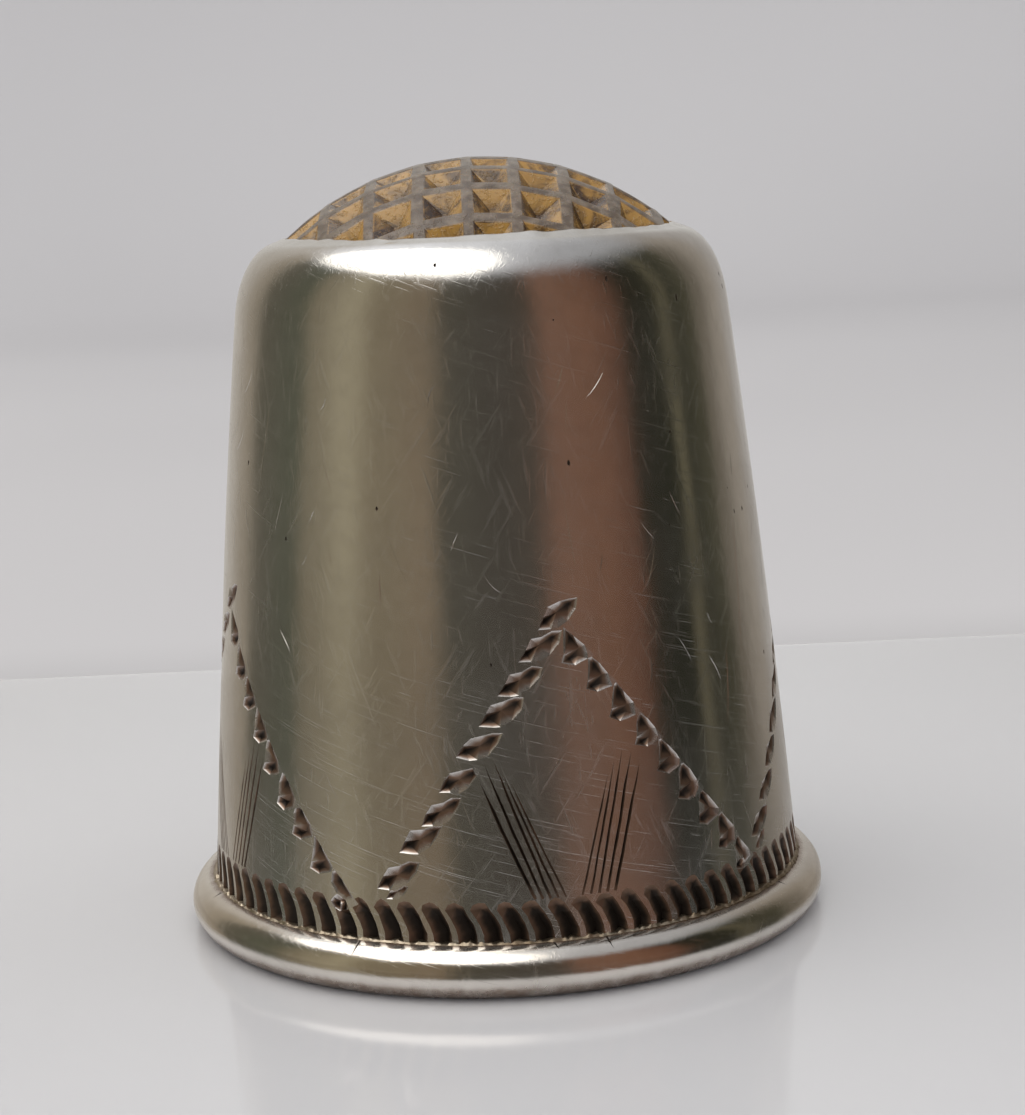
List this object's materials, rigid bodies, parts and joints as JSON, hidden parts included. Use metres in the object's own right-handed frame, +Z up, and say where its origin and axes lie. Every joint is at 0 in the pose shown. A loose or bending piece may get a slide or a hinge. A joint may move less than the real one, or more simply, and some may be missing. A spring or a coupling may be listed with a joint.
{
  "type": "thimble",
  "caption": "Tapered silver thimble with a half-round rim, engraved zigzag and leaf border, and a domed amber stone cap ground into a grid of pits, held by a burnished lip.",
  "frame": {"origin": "centre of the mouth, in the plane that the thimble stands on", "axes": "+Z up the thimble's axis from the mouth to the stone; -Y is the front, the face of the triangle seen nearest to the middle"},
  "size_m": [0.018, 0.018, 0.0211],
  "materials": {
    "silver_sheet": "satin",
    "silver_wire": "satin",
    "amber_stone": "gloss",
    "silver_inside": "matte",
    "setting_cement": "matte"
  },
  "bodies": {
    "root": {"silver_band": "silver_sheet", "rim_wire": "silver_wire", "stone_cap": "amber_stone", "bearer_ring": "silver_inside", "cement_bed": "setting_cement"}
  },
  "joints": []
}
